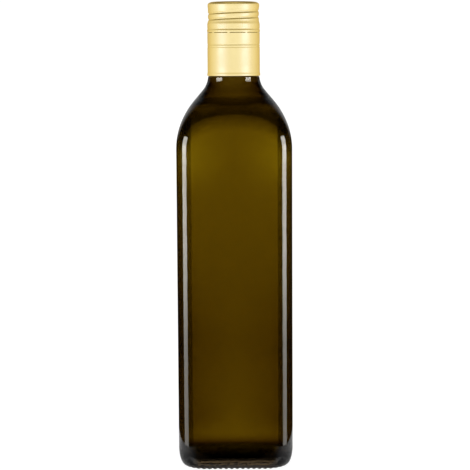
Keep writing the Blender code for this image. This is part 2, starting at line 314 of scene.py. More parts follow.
def cavity_rings(wall):
    """The inside, from the middle of its floor to the straight bore, for a wall this thick."""
    extra = wall - WALL
    half_width = BODY_HALF_WIDTH - wall
    corner_radius = BODY_CORNER_RADIUS - wall
    heel = INNER_HEEL_RADIUS - extra
    floor = FLOOR_THICKNESS + extra
    flat = half_width - heel
    rings = []
    for fraction in fractions(FLOOR_RINGS)[1:]:
        corner = flat * fraction * (1 - fraction * (1 - corner_radius / flat))
        height = floor + FLOOR_RISE * (1 - fraction**2)
        rings.append(ring_at(square_reach(flat * fraction, corner), height))
    for fraction in fractions(INNER_HEEL_RINGS)[1:]:
        turn = QUARTER_TURN * fraction
        reach = square_reach(flat + heel * math.sin(turn), corner_radius)
        rings.append(ring_at(reach, floor + heel * (1 - math.cos(turn))))
    for height in SIDE_HEIGHTS:
        rings.append(ring_at(square_reach(half_width, corner_radius), height * MM))
    rings = [thicken(ring) for ring in rings + shoulder_rings(wall)]
    return rings + neck_rings(wall, BORE_RADIUS - extra, BORE_FILLET_RADIUS + extra)


print("wall and floor are", WALL / MM, "and", FLOOR_THICKNESS / MM, "mm thick")

# %% [markdown]
# The cap hides the mouth of the bottle. Its thread can't be seen from anywhere, so a plain
# tube with a step and a rounded rim is enough, as long as it stays clear of the cap.

# %% Plain neck under the cap
NECK_RADIUS = 15.4 * MM
NECK_FILLET_RADIUS = 14.0 * MM
NECK_TOP = cap_low.z - 0.6 * MM
FINISH_FOOT = cap_low.z + 0.2 * MM
FINISH_RADIUS = 14.85 * MM
FINISH_STEP_FOOT = 261.5 * MM
FINISH_STEP_HEIGHT = 2.6 * MM
THREAD_LAND_RADIUS = 14.05 * MM
MOUTH_ROUNDING = 1.0 * MM
MOUTH_STEPS = 6


def finish_rings():
    """The plain neck under the cap, up to its rounded mouth."""
    top = glass_high.z
    rings = [
        ring_at(NECK_RADIUS, NECK_TOP),
        ring_at(FINISH_RADIUS, FINISH_FOOT),
        ring_at(FINISH_RADIUS, FINISH_STEP_FOOT),
        ring_at(THREAD_LAND_RADIUS, FINISH_STEP_FOOT + FINISH_STEP_HEIGHT),
    ]
    for fraction in fractions(MOUTH_STEPS):
        turn = QUARTER_TURN * fraction
        radius = THREAD_LAND_RADIUS - MOUTH_ROUNDING * (1 - math.cos(turn))
        rings.append(ring_at(radius, top - MOUTH_ROUNDING * (1 - math.sin(turn))))
    return rings


# %% [markdown]
# One helper turns a stack of rings into a closed mesh. Blender could bridge the rings too,
# but here every row of faces also gets a number of its own, kept as an attribute. The
# materials read it later: it tells them which faces oil or air touches.

# %% Skin a stack of rings
def skin(name, rings, row_marks):
    """A closed mesh through the rings. Each row of faces carries its own mark."""
    points = np.concatenate([*rings, [rings[0].mean(axis=0)], [rings[-1].mean(axis=0)]])
    width = len(rings[0])
    first, last = len(points) - 2, len(points) - 1
    here = np.arange(width)
    after = (here + 1) % width
    faces = []
    marks = []
    for row in range(len(rings) - 1):
        low, high = row * width, (row + 1) * width
        faces += np.stack([low + here, low + after, high + after, high + here], 1).tolist()
        marks += [row_marks[row]] * width
    faces += np.stack([after, here, np.full(width, first)], 1).tolist()
    marks += [0.0] * width
    top = (len(rings) - 1) * width
    faces += np.stack([top + here, top + after, np.full(width, last)], 1).tolist()
    marks += [row_marks[-1]] * width
    mesh = bpy.data.meshes.new(name)
    mesh.from_pydata(points.tolist(), [], faces)
    mesh.attributes.new("marked", "FLOAT", "FACE").data.foreach_set("value", marks)
    mesh.shade_smooth()
    piece = bpy.data.objects.new(name, mesh)
    bpy.context.scene.collection.objects.link(piece)
    print(name, "has", len(mesh.polygons), "faces")
    return piece


# %% [markdown]
# The glass is one closed shell. Where the oil wets its inside, light hardly bends, since
# oil and glass have nearly the same index. The faces there are marked with 1.
#
# Round glass full of oil is a strong lens. In this simple shape it would turn the light of
# the neck away for good and leave it black, which the real, less regular neck is not. So
# its outer faces get marks up to 0.8, which ease the bending between two heights.

# %% Glass
NECK_EASE_HEIGHTS = (207, 218, 230.5, 233)
NECK_EASE = (0.0, 0.8, 0.8, 0.0)
NECK_GAP = 0.2 * MM


def outer_rings():
    neck = neck_rings(0.0, NECK_RADIUS, NECK_FILLET_RADIUS)
    neck = [ring for ring in neck if ring[0, 2] < NECK_TOP - NECK_GAP]
    return base_rings() + shoulder_rings(0.0) + neck + finish_rings()


def make_glass():
    outside = outer_rings()
    inside = cavity_rings(WALL)
    wet_rings = len(inside)
    inside.append(ring_at(BORE_RADIUS, oil_top))
    inside.append(ring_at(BORE_RADIUS, glass_high.z - MOUTH_ROUNDING))
    inside.append(ring_at(BORE_RADIUS + MOUTH_ROUNDING / 2, glass_high.z))
    heights = [ring[0, 2] / MM for ring in outside]
    marks = [float(np.interp(height, NECK_EASE_HEIGHTS, NECK_EASE)) for height in heights]
    marks += [0.0] * (len(inside) - wet_rings) + [1.0] * wet_rings
    return skin("bottle_glass", outside + inside[::-1], marks)


bottle_glass = make_glass()
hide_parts("glass_bottle")
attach(bottle_glass, "root")

# %% [markdown]
# The oil fills the cavity up to its level in the neck. It reaches a hair's breadth into
# the glass, so that no film of air shows between them. Only its free surface, the top,
# is a border with air, and that is what the mark stands for here.

# %% Oil
OIL_REACH = 0.05 * MM
MENISCUS_HEIGHT = 0.9 * MM
MENISCUS_WIDTH = 2.2 * MM
MENISCUS_STEPS = 8


def make_oil():
    rings = cavity_rings(WALL - OIL_REACH)
    wall_rings = len(rings)
    edge = BORE_RADIUS + OIL_REACH
    for fraction in fractions(MENISCUS_STEPS):
        drop = MENISCUS_HEIGHT * (1 - (1 - fraction) ** 2)
        rings.append(ring_at(edge - MENISCUS_WIDTH * fraction, oil_top - drop))
    marks = [0.0] * wall_rings + [1.0] * (len(rings) - wall_rings)
    return skin("oil_body", rings, marks)


oil_body = make_oil()
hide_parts("olive_oil")
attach(oil_body, "root")

# %% [markdown]
# The cap is a cup of thin aluminium. Below its thread run a knurled band, a bead, the slits
# of the tamper band, two shallow rings and a curled lip. It could be turned as one
# profile, but the thread and the knurls are not round. So the side is a fine grid of
# points that formulas push in and out. The first formula is the plain profile: for each
# band, the middle height, half the height and the rise, in millimetres.

# %% Cap outline
CAP_RIM_RADIUS = 15.5 * MM
CAP_RIM_ROUNDING = 1.8 * MM
CAP_RIM_WIDTH = 3.6 * MM
CAP_CROWN = 0.25 * MM
CAP_LAND_RADIUS = 15.3 * MM
CAP_SKIRT_RADIUS = 15.75 * MM
LAND_TOP = 276.6 * MM
LAND_BLEND = 1.8 * MM
SKIRT_TOP = 268.2 * MM
SKIRT_BLEND = 2.6 * MM
CAP_BANDS_MM = (
    ("groove over the bead", 263.1, 0.50, -0.16),
    ("bead", 261.9, 0.80, 0.18),
    ("upper ring", 253.7, 0.60, -0.22),
    ("lower ring", 252.3, 0.50, -0.16),
    ("curled lip", 235.8, 1.60, 0.20),
)


def smooth_step(value):
    value = np.clip(value, 0.0, 1.0)
    return value * value * (3 - 2 * value)


def bump(offset):
    """1 in the middle, falling smoothly to 0 where the offset is 1 or more."""
    return np.where(np.abs(offset) < 1, np.cos(QUARTER_TURN * np.clip(offset, -1, 1)) ** 2, 0.0)


def cap_profile(height):
    """Radius of the plain cap at a height: rim, thread land, skirt, beads, rings and lip."""
    to_land = smooth_step((LAND_TOP - height) / LAND_BLEND)
    radius = CAP_RIM_RADIUS + (CAP_LAND_RADIUS - CAP_RIM_RADIUS) * to_land
    to_skirt = smooth_step((SKIRT_TOP - height) / SKIRT_BLEND)
    radius = radius + (CAP_SKIRT_RADIUS - CAP_LAND_RADIUS) * to_skirt
    for label, middle, half_height, rise in CAP_BANDS_MM:
        radius = radius + rise * MM * bump((height - middle * MM) / (half_height * MM))
    return radius


print("the skirt of the cap is", 2 * CAP_SKIRT_RADIUS / MM, "mm across")

# %% [markdown]
# Small wheels roll the thread into the cap on the filled bottle, and their groove climbs
# round it like a screw. So its height depends on the angle. It fades out at both ends,
# where the wheels are pressed in and lifted off.

# %% Rolled thread
THREAD_PITCH = 3.5 * MM
THREAD_DEPTH = 0.45 * MM
THREAD_WIDTH = 2.1 * MM
THREAD_FRONT_HEIGHT = 269.4 * MM
THREAD_FIRST_TURN = -0.45
THREAD_LAST_TURN = 1.6
THREAD_FADE_TURNS = 0.12
FRONT_ANGLE = math.radians(270.0)


def thread_groove(angle, height):
    """Depth of the rolled thread: one groove that climbs round the cap."""
    deepest = np.zeros(np.broadcast(angle, height).shape)
    from_front = (angle - FRONT_ANGLE) / FULL_TURN
    for whole_turn in range(-1, 4):
        turn = from_front + whole_turn
        from_end = np.minimum(turn - THREAD_FIRST_TURN, THREAD_LAST_TURN - turn)
        fade = smooth_step(from_end / THREAD_FADE_TURNS)
        offset = (height - THREAD_FRONT_HEIGHT - THREAD_PITCH * turn) / (THREAD_WIDTH / 2)
        deepest = np.maximum(deepest, THREAD_DEPTH * fade * bump(offset))
    return deepest


print("the thread makes", round(THREAD_LAST_TURN - THREAD_FIRST_TURN, 2), "turns")

# %% [markdown]
# The knurls are shallow upright flutes for the fingers. A bump map could fake them, but
# they show at the edge of the cap too, and a cosine round the axis costs nothing.

# %% Knurled band
KNURL_COUNT = 84
KNURL_DEPTH = 0.06 * MM
KNURL_MIDDLE = 265.6 * MM
KNURL_HALF_HEIGHT = 2.0 * MM
KNURL_BLEND = 0.6 * MM


def knurl(angle, height):
    """Depth of the shallow upright flutes that give the fingers a grip."""
    band = smooth_step((KNURL_HALF_HEIGHT - np.abs(height - KNURL_MIDDLE)) / KNURL_BLEND)
    return KNURL_DEPTH * band * (0.5 - 0.5 * np.cos(KNURL_COUNT * angle))


print(KNURL_COUNT, "flutes run round the cap")

# %% [markdown]
# Short bridges hold the tamper band to the cap and break when it is first turned. Between
# them the sheet is cut through. These slits are simply faces that are left out.

# %% Slits of the tamper band
SLIT_HEIGHT = 260.85 * MM
SLIT_WIDTH = 0.15 * MM
SLIT_COUNT = 9
BRIDGE_WIDTH = 1.3 * MM
FIRST_BRIDGE_ANGLE = math.radians(259.0)


def in_slit(angle, height):
    pitch = FULL_TURN / SLIT_COUNT
    bridge = BRIDGE_WIDTH / CAP_SKIRT_RADIUS
    along = (angle - FIRST_BRIDGE_ANGLE + pitch / 2) % pitch - pitch / 2
    return (np.abs(height - SLIT_HEIGHT) < SLIT_WIDTH / 2) & (np.abs(along) > bridge / 2)


print(SLIT_COUNT, "slits, with a bridge", BRIDGE_WIDTH / MM, "mm wide between two of them")

# %% [markdown]
# The side of the cap is a grid of points. Its rows lie close together where the profile
# curves, and further apart on the plain skirt, where more of them would show nothing. Two
# rows lie exactly on the edges of the slits. The sheet gets its thickness last, from a
# modifier, so that the formulas only have to describe its outside.

# %% Rows of the cap
CAP_COLUMNS = 336
CROWN_STEPS = 9
RIM_STEPS = 12
FINE_ROW = 0.26 * MM
PLAIN_ROW = 1.1 * MM
PLAIN_SKIRT_TOP = 250.6 * MM
PLAIN_SKIRT_FOOT = 238.0 * MM


def even_rows(top, foot, spacing):
    """Heights below the top, down to the foot, about one spacing apart."""
    count = round((top - foot) / spacing)
    return top + (foot - top) * np.arange(1, count + 1) / count


def cap_rings():
    """Rings of the outer sheet, from near the middle of the crown down to the lip."""
    angle = FULL_TURN * np.arange(CAP_COLUMNS) / CAP_COLUMNS
    rim_reach = CAP_RIM_RADIUS - CAP_RIM_WIDTH
    rings = []
    for fraction in fractions(CROWN_STEPS)[1:]:
        height = cap_high.z - CAP_CROWN * fraction**2
        rings.append((np.full(CAP_COLUMNS, rim_reach * fraction), height))
    for fraction in fractions(RIM_STEPS)[1:]:
        turn = QUARTER_TURN * (1 - fraction)
        drop = CAP_CROWN + CAP_RIM_ROUNDING * (1 - math.sin(turn))
        radius = rim_reach + CAP_RIM_WIDTH * math.cos(turn)
        rings.append((np.full(CAP_COLUMNS, radius), cap_high.z - drop))
    side_top = cap_high.z - CAP_CROWN - CAP_RIM_ROUNDING
    slit_edges = [SLIT_HEIGHT + SLIT_WIDTH / 2, SLIT_HEIGHT - SLIT_WIDTH / 2]
    heights = np.concatenate([
        even_rows(side_top, PLAIN_SKIRT_TOP, FINE_ROW),
        even_rows(PLAIN_SKIRT_TOP, PLAIN_SKIRT_FOOT, PLAIN_ROW),
        even_rows(PLAIN_SKIRT_FOOT, cap_low.z, FINE_ROW),
    ])
    clear = np.min(np.abs(heights[:, None] - slit_edges), axis=1) > FINE_ROW / 2
    heights = sorted([*heights[clear], *slit_edges], reverse=True)
    for height in heights:
        depth = thread_groove(angle, height) + knurl(angle, height)
        rings.append((cap_profile(height) - depth, height))
    return angle, rings


print("the outside of the cap has", len(cap_rings()[1]), "rings")

# %% Cap mesh
CAP_WALL = 0.30 * MM


def make_cap():
    angle, rings = cap_rings()
    points = [
        np.stack([reach * np.cos(angle), reach * np.sin(angle), np.full(CAP_COLUMNS, height)], 1)
        for reach, height in rings
    ]
    points = np.concatenate([*points, [[0.0, 0.0, cap_high.z]]])
    here = np.arange(CAP_COLUMNS)
    after = (here + 1) % CAP_COLUMNS
    faces = np.stack([here, after, np.full(CAP_COLUMNS, len(points) - 1)], 1).tolist()
    middle_angle = angle + FULL_TURN / CAP_COLUMNS / 2
    for row in range(len(rings) - 1):
        upper, lower = row * CAP_COLUMNS, (row + 1) * CAP_COLUMNS
        quads = np.stack([upper + here, lower + here, lower + after, upper + after], 1)
        middle_height = (rings[row][1] + rings[row + 1][1]) / 2
        faces += quads[~in_slit(middle_angle, middle_height)].tolist()
    mesh = bpy.data.meshes.new("gold_cap")
    mesh.from_pydata(points.tolist(), [], faces)
    mesh.shade_smooth()
    cap = bpy.data.objects.new("gold_cap", mesh)
    bpy.context.scene.collection.objects.link(cap)
    sheet = cap.modifiers.new("sheet_thickness", "SOLIDIFY")
    sheet.thickness = CAP_WALL
    sheet.offset = -1.0
    print("gold_cap has", len(faces), "faces before its thickness")
    return cap


gold_cap = make_cap()
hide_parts("screw_cap")
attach(gold_cap, "root")

# %% [markdown]
# Materials follow. They are made of shader nodes alone, without any pictures. A few helpers
# keep their code short. They make a node, feed a socket, do a sum, blend two values, and
# find the place that is being shaded.

# %% Helpers for shader nodes
WHITE = (1.0, 1.0, 1.0, 1.0)


def new_node(tree, kind, **settings):
    node = tree.nodes.new(kind)
    for name, value in settings.items():
        setattr(node, name, value)
    return node


def feed(tree, socket, value):
    """Gives a socket a plain value, or links it to the socket that carries one."""
    if isinstance(value, bpy.types.NodeSocket):
        tree.links.new(value, socket)
    else:
        socket.default_value = value


def math_node(tree, operation, *values):
    node = new_node(tree, "ShaderNodeMath", operation=operation)
    for socket, value in zip(node.inputs, values):
        feed(tree, socket, value)
    return node.outputs[0]


def mix(tree, kind, factor, first, second):
    """A blend of two numbers, kind FLOAT, or of two colours, kind RGBA."""
    node = new_node(tree, "ShaderNodeMix", data_type=kind)
    start, end = (2, 0) if kind == "FLOAT" else (6, 2)
    feed(tree, node.inputs[0], factor)
    feed(tree, node.inputs[start], first)
    feed(tree, node.inputs[start + 1], second)
    return node.outputs[end]


def spot(tree, coordinates="Object"):
    """The place that is being shaded, and then its x, y and z."""
    place = new_node(tree, "ShaderNodeTexCoord").outputs[coordinates]
    parts = new_node(tree, "ShaderNodeSeparateXYZ")
    tree.links.new(place, parts.inputs[0])
    return place, parts.outputs[0], parts.outputs[1], parts.outputs[2]


# %% [markdown]
# Much of this look depends on height or direction: how thick the glass seems, how bright a
# panel is, how dark the ceiling gets. These two helpers turn it into nodes: one makes a
# smooth change between two values, the other straight lines between the stops of a table.
# A chain of sums would do the same, but a colour ramp can be read like its table.

# %% Curves from tables
def smooth_range(tree, value, low, high, first=0.0, last=1.0):
    """The first number below a range, the last above it, and a smooth change between."""
    node = new_node(tree, "ShaderNodeMapRange", interpolation_type="SMOOTHSTEP")
    for label, number in (
        ("Value", value), ("From Min", low), ("From Max", high), ("To Min", first), ("To Max", last)
    ):
        feed(tree, node.inputs[label], number)
    return node.outputs["Result"]


def ramp(tree, value, stops):
    """A grey colour ramp through (value, level) stops, over the range that they span."""
    low, high = stops[0][0], stops[-1][0]
    span = new_node(tree, "ShaderNodeMapRange")
    span.inputs["From Min"].default_value = low
    span.inputs["From Max"].default_value = high
    tree.links.new(value, span.inputs["Value"])
    levels = new_node(tree, "ShaderNodeValToRGB")
    elements = levels.color_ramp.elements
    while len(elements) < len(stops):
        elements.new(0.5)
    for element, (place, level) in zip(elements, stops):
        element.position = (place - low) / (high - low)
        element.color = (level, level, level, 1.0)
    tree.links.new(span.outputs["Result"], levels.inputs["Fac"])
    return levels.outputs["Color"]


# %% [markdown]
# These are the parts that more than one material has: an empty material, a volume that
# absorbs light, a bump, and an index of refraction that follows the marks on the faces.

# %% Parts that materials share
def new_material(name):
    material = bpy.data.materials.new(name)
    material.use_nodes = True
    tree = material.node_tree
    return material, tree, tree.nodes["Principled BSDF"], tree.nodes["Material Output"]


def absorb(tree, output, losses):
    """Fills the material with a clear absorber that loses so much light in each metre."""
    density = max(losses)
    volume = new_node(tree, "ShaderNodeVolumeAbsorption")
    volume.inputs["Color"].default_value = (*[1 - loss / density for loss in losses], 1.0)
    volume.inputs["Density"].default_value = density
    tree.links.new(volume.outputs[0], output.inputs["Volume"])


def add_bump(tree, shader, height, distance, strength=1.0):
    node = new_node(tree, "ShaderNodeBump")
    node.inputs["Strength"].default_value = strength
    node.inputs["Distance"].default_value = distance
    tree.links.new(height, node.inputs["Height"])
    tree.links.new(node.outputs["Normal"], shader.inputs["Normal"])


def marked_index(tree, plain, marked):
    """The marks on the faces, and an index that goes from plain at 0 to marked at 1."""
    mark = new_node(tree, "ShaderNodeAttribute", attribute_name="marked").outputs["Fac"]
    index = new_node(tree, "ShaderNodeMapRange")
    index.inputs["To Min"].default_value = plain
    index.inputs["To Max"].default_value = marked
    tree.links.new(mark, index.inputs["Value"])
    return mark, index.outputs["Result"]


# %% [markdown]
# Neither blown glass nor rolled sheet is perfectly even, and a mirror-like surface shows
# it at once. Both materials need this slow unevenness, so it is a node group: it is built
# once, and each material sets how fine it is and how much it is stretched upwards.

# %% Node group: soft ripple
def make_ripple_group():
    group = bpy.data.node_groups.new("soft ripple", "ShaderNodeTree")
    for label, value in (("Scale", 60.0), ("Stretch", 1.0)):
        socket = group.interface.new_socket(label, in_out="INPUT", socket_type="NodeSocketFloat")
        socket.default_value = value
    group.interface.new_socket("Height", in_out="OUTPUT", socket_type="NodeSocketFloat")
    start = group.nodes.new("NodeGroupInput")
    end = group.nodes.new("NodeGroupOutput")
    place, x, y, height = spot(group)
    joined = new_node(group, "ShaderNodeCombineXYZ")
    tall = math_node(group, "DIVIDE", height, start.outputs["Stretch"])
    for socket, value in zip(joined.inputs, (x, y, tall)):
        feed(group, socket, value)
    noise = new_node(group, "ShaderNodeTexNoise")
    noise.inputs["Detail"].default_value = 2.0
    noise.inputs["Roughness"].default_value = 0.4
    group.links.new(start.outputs["Scale"], noise.inputs["Scale"])
    group.links.new(joined.outputs[0], noise.inputs["Vector"])
    group.links.new(noise.outputs["Fac"], end.inputs["Height"])
    return group


SOFT_RIPPLE = make_ripple_group()


def soft_ripple(tree, scale, stretch):
    """Places the group in a material with values of its own."""
    node = new_node(tree, "ShaderNodeGroup", node_tree=SOFT_RIPPLE)
    node.inputs["Scale"].default_value = scale
    node.inputs["Stretch"].default_value = stretch
    return node.outputs["Height"]


print("group", SOFT_RIPPLE.name, "has", len(SOFT_RIPPLE.nodes), "nodes")

# %% [markdown]
# Seen against a lit background, a real bottle shows a dark arch under its shoulder, where
# the sloping glass bends light away, and dark bands along its corners. These simple shapes
# bend light a little less. So that shade is painted into the colour of the outer faces:
# they let less light through at those places, by level, with a warm tint in the arch, and
# the neck above it gets painted levels of its own. A height that sags towards the sides
# gives the arch, and the smaller of the two distances from the axis tells a corner from a
# flat side. The shader takes the root of its colour for each crossing of a face, so the
# colour is the level squared.

# %% Painted shade on the outer faces
CORNER_BY_SIDE = ((0.0, 1.0), (0.0250, 1.0), (0.0258, 0.0), (0.04, 0.0))
CORNER_SHADE_LEVELS = (
    (0.0, 0.50), (0.045, 0.46), (0.075, 0.42), (0.145, 0.53), (0.188, 0.60), (0.198, 0.36),
    (0.24, 0.30),
)
ARCH_SAG = 5.0
ARCH_SAG_AT_ENDS = 10000.0
ARCH_SHADE_TINT = (1.0, 0.78, 0.5, 1.0)
ARCH_SHADE_LEVELS = (
    (0.2000, 1.00), (0.2033, 1.00), (0.2069, 0.76), (0.2104, 0.50), (0.2117, 0.40), (0.2127, 0.30),
    (0.2134, 0.0),
)
NECK_SHADE_LEVELS = (
    (0.200, 0.12), (0.2125, 0.12), (0.2145, 0.20), (0.2165, 0.34), (0.2180, 0.58), (0.2190, 0.84),
    (0.2210, 0.84), (0.2225, 0.72), (0.226, 0.76), (0.232, 0.88),
)


def painted_shade_color(tree):
    """Painted shade for the outer faces: nearly white on the flat sides, dark at arch and corners.
    """
    place, x, y, height = spot(tree)
    side = math_node(tree, "MINIMUM", math_node(tree, "ABSOLUTE", x), math_node(tree, "ABSOLUTE", y))
    corner = mix(
        tree, "FLOAT", ramp(tree, side, CORNER_BY_SIDE), ramp(tree, height, CORNER_SHADE_LEVELS), 1.0
    )
    square = math_node(tree, "POWER", side, 2.0)
    sag = math_node(tree, "MULTIPLY_ADD", square, ARCH_SAG_AT_ENDS, ARCH_SAG)
    sag = math_node(tree, "MULTIPLY", sag, square)
    arch = ramp(tree, math_node(tree, "ADD", height, sag), ARCH_SHADE_LEVELS)
    arch = math_node(tree, "MAXIMUM", arch, ramp(tree, height, NECK_SHADE_LEVELS))
    level = math_node(tree, "MULTIPLY", corner, arch)
    color = new_node(tree, "ShaderNodeVectorMath", operation="SCALE")
    tree.links.new(mix(tree, "RGBA", arch, ARCH_SHADE_TINT, WHITE), color.inputs[0])
    tree.links.new(math_node(tree, "POWER", level, 2.0), color.inputs["Scale"])
    return color.outputs[0]


print("the arch darkens from", ARCH_SHADE_LEVELS[0][0], "m up to", ARCH_SHADE_LEVELS[-1][0], "m")

# %% [markdown]
# The mould leaves a fine stipple of small knobs round the foot. As real geometry it would
# take many thousands of faces, so it is a bump from a cell texture, kept to the lowest
# few millimetres. The soft ripple goes into the same bump.

# %% Stipple and ripple of the glass
STIPPLE_SCALE = 620.0
STIPPLE_ORDER = 0.5
STIPPLE_DEPTH = 0.5 * MM
STIPPLE_BY_HEIGHT = ((0.0, 1.0), (0.0035, 1.0), (0.0065, 0.0), (0.3, 0.0))
RIPPLE_SCALE = 55.0
RIPPLE_STRETCH = 2.5
RIPPLE_SHARE = 0.06


def glass_relief(tree):
    place, x, y, height = spot(tree)
    cells = new_node(tree, "ShaderNodeTexVoronoi", feature="F1")
    cells.inputs["Scale"].default_value = STIPPLE_SCALE
    cells.inputs["Randomness"].default_value = STIPPLE_ORDER
    tree.links.new(place, cells.inputs["Vector"])
    low_down = ramp(tree, height, STIPPLE_BY_HEIGHT)
    knobs = math_node(tree, "MULTIPLY", cells.outputs["Distance"], low_down)
    ripple = soft_ripple(tree, RIPPLE_SCALE, RIPPLE_STRETCH)
    return math_node(tree, "MULTIPLY_ADD", ripple, RIPPLE_SHARE, knobs)


print("the stipple ends at", STIPPLE_BY_HEIGHT[-2][0] / MM, "mm")

# %% [markdown]
# Dark bottle glass gets its colour inside the material, not on its surface, so thick
# parts such as the heel and the corners come out darker by themselves. A volume absorber
# does exactly that. On top of it, the dry faces carry the painted shade of arch, neck and
# corners in their colour. The index is 1.52 against air. Against the oil only the ratio
# of the two indices counts, which is why the marked faces have a much smaller one.

# %% Glass material
GLASS_INDEX = 1.52
OIL_INDEX = 1.47
GLASS_LOSSES = (289.0, 354.0, 575.0)
WET_MARK = 0.95


def make_glass_material():
    material, tree, shader, output = new_material("bottle glass")
    shader.inputs["Transmission Weight"].default_value = 1.0
    shader.inputs["Roughness"].default_value = 0.0
    mark, index = marked_index(tree, GLASS_INDEX, GLASS_INDEX / OIL_INDEX)
    tree.links.new(index, shader.inputs["IOR"])
    wet = math_node(tree, "GREATER_THAN", mark, WET_MARK)
    # The dry faces get the painted shade as their colour, and the wet ones stay white.
    tree.links.new(mix(tree, "RGBA", wet, painted_shade_color(tree), WHITE), shader.inputs["Base Color"])
    add_bump(tree, shader, glass_relief(tree), STIPPLE_DEPTH)
    absorb(tree, output, GLASS_LOSSES)
    print(material.name, "loses", GLASS_LOSSES, "a metre in red, green and blue")
    return material


bottle_glass.data.materials.append(make_glass_material())

# %% [markdown]
# Olive oil is a clear yellow-green liquid that swallows blue light. It is an absorber too.
# Its wall faces lie inside the glass and must not bend light a second time, so their index
# is 1. Only the marked faces of the free surface have the index of oil.

# %% Oil material
OIL_LOSSES = (5.3, 7.7, 56.6)


def make_oil_material():
    material, tree, shader, output = new_material("olive oil")
    shader.inputs["Transmission Weight"].default_value = 1.0
    shader.inputs["Base Color"].default_value = WHITE
    shader.inputs["Roughness"].default_value = 0.0
    mark, index = marked_index(tree, 1.0, OIL_INDEX)
    tree.links.new(index, shader.inputs["IOR"])
    absorb(tree, output, OIL_LOSSES)
    print(material.name, "loses", OIL_LOSSES, "a metre in red, green and blue")
    return material


oil_body.data.materials.append(make_oil_material())

# %% [markdown]
# The cap is aluminium under a clear gold lacquer: a metal with a gold colour, and a coat
# over it that is smoother than the metal. Hands leave it a little duller in patches, so
# its roughness follows a noise between a clean value and a handled one. A fine ripple
# stands for the marks of rolling.

# %% Cap material
CAP_GOLD = (0.98, 0.82, 0.40, 1.0)
CAP_EDGE_GOLD = (0.96, 0.82, 0.55, 1.0)
CLEAN_ROUGHNESS = 0.32
HANDLED_ROUGHNESS = 0.42
HAZE_SCALE = 90.0
HAZE_RANGE = (0.35, 0.7)
ROLLING_SCALE = 900.0
ROLLING_STRETCH = 12.0
ROLLING_DEPTH = 0.02 * MM


def handling_haze(tree):
    """A patchy roughness, from clean to handled."""
    noise = new_node(tree, "ShaderNodeTexNoise")
    noise.inputs["Detail"].default_value = 5.0
    noise.inputs["Scale"].default_value = HAZE_SCALE
    tree.links.new(spot(tree)[0], noise.inputs["Vector"])
    low, high = HAZE_RANGE
    return smooth_range(tree, noise.outputs["Fac"], low, high, CLEAN_ROUGHNESS, HANDLED_ROUGHNESS)


def make_cap_material():
    material, tree, shader, output = new_material("gold lacquered aluminium")
    shader.inputs["Metallic"].default_value = 1.0
    shader.inputs["Base Color"].default_value = CAP_GOLD
    shader.inputs["Specular Tint"].default_value = CAP_EDGE_GOLD
    shader.inputs["Coat Weight"].default_value = 0.5
    shader.inputs["Coat Roughness"].default_value = 0.30
    tree.links.new(handling_haze(tree), shader.inputs["Roughness"])
    marks = soft_ripple(tree, ROLLING_SCALE, ROLLING_STRETCH)
    add_bump(tree, shader, marks, ROLLING_DEPTH, 0.5)
    print(material.name, "is rough by", CLEAN_ROUGHNESS, "to", HANDLED_ROUGHNESS)
    return material


gold_cap.data.materials.append(make_cap_material())

# %% [markdown]
# A dark bottle is photographed against white, with two tall softboxes beside it. The
# white surround shines through the glass. The room in front stays dark, so that nothing
# but the softboxes mirrors in the polished faces. Here the surround is the world, and it
# tells sharp mirror reflections apart from everything else by the Light Path node.
#
# The satin cap blurs what it mirrors. It sees the white surround low down, a darker
# ceiling, and a warmer backdrop behind and above, which keeps its edges golden.

# %% Brightness of the surround
SURROUND_STRENGTH = 1.05
MIRRORED_ROOM = 0.004
MIRRORED_BACKDROP = 0.7
BACKDROP_DEPTH = (0.60, 0.95)
BACKDROP_HEIGHT = (0.06, 0.16)
CEILING = (
    (-1.0, 1.05), (0.208, 1.05), (0.323, 0.92), (0.438, 0.62), (0.554, 0.33), (0.669, 0.20),
    (0.85, 0.25), (1.0, 0.70),
)
BACKDROP_ON_METAL = ((-1.0, 1.0), (-0.5, 1.0), (0.2, 0.90), (0.7, 0.74), (1.0, 0.62))


def mirror_ray(tree):
    """1 for a ray that comes from a sharp reflection, as in polished glass."""
    path = new_node(tree, "ShaderNodeLightPath").outputs
    return math_node(tree, "MULTIPLY", path["Is Singular Ray"], path["Is Reflection Ray"])


def surround_strength(tree, depth, height):
    """Brightness of the surround for the eye and the glass, for metal, and for mirrors."""
    path = new_node(tree, "ShaderNodeLightPath").outputs
    straight = math_node(tree, "MAXIMUM", path["Is Camera Ray"], path["Is Transmission Ray"])
    on_metal = ramp(tree, depth, BACKDROP_ON_METAL)
    on_metal = math_node(tree, "MULTIPLY", ramp(tree, height, CEILING), on_metal)
    seen = mix(tree, "FLOAT", straight, on_metal, SURROUND_STRENGTH)
    behind = smooth_range(tree, depth, *BACKDROP_DEPTH)
    above = smooth_range(tree, height, *BACKDROP_HEIGHT)
    backdrop = math_node(tree, "MULTIPLY", behind, above)
    mirrored = math_node(tree, "MULTIPLY_ADD", backdrop, MIRRORED_BACKDROP, MIRRORED_ROOM)
    return mix(tree, "FLOAT", mirror_ray(tree), seen, mirrored)


# %% Colour of the surround
WARM_BACKDROP = (1.0, 0.86, 0.45, 1.0)
WARMTH_BY_DEPTH = ((-1.0, 0.0), (-0.4, 0.0), (0.3, 0.6), (0.9, 1.0), (1.0, 1.0))
WARMTH_BY_HEIGHT = ((-1.0, 0.0), (0.15, 0.0), (0.45, 1.0), (1.0, 1.0))


def surround_color(tree, depth, height):
    """White, but warm behind and above for rays that a rough surface has blurred."""
    path = new_node(tree, "ShaderNodeLightPath").outputs
    blurred = math_node(tree, "GREATER_THAN", path["Is Glossy Ray"], path["Is Singular Ray"])
    warmth = ramp(tree, depth, WARMTH_BY_DEPTH)
    warmth = math_node(tree, "MAXIMUM", warmth, ramp(tree, height, WARMTH_BY_HEIGHT))
    warmth = math_node(tree, "MULTIPLY", warmth, blurred)
    return mix(tree, "RGBA", warmth, WHITE, WARM_BACKDROP)


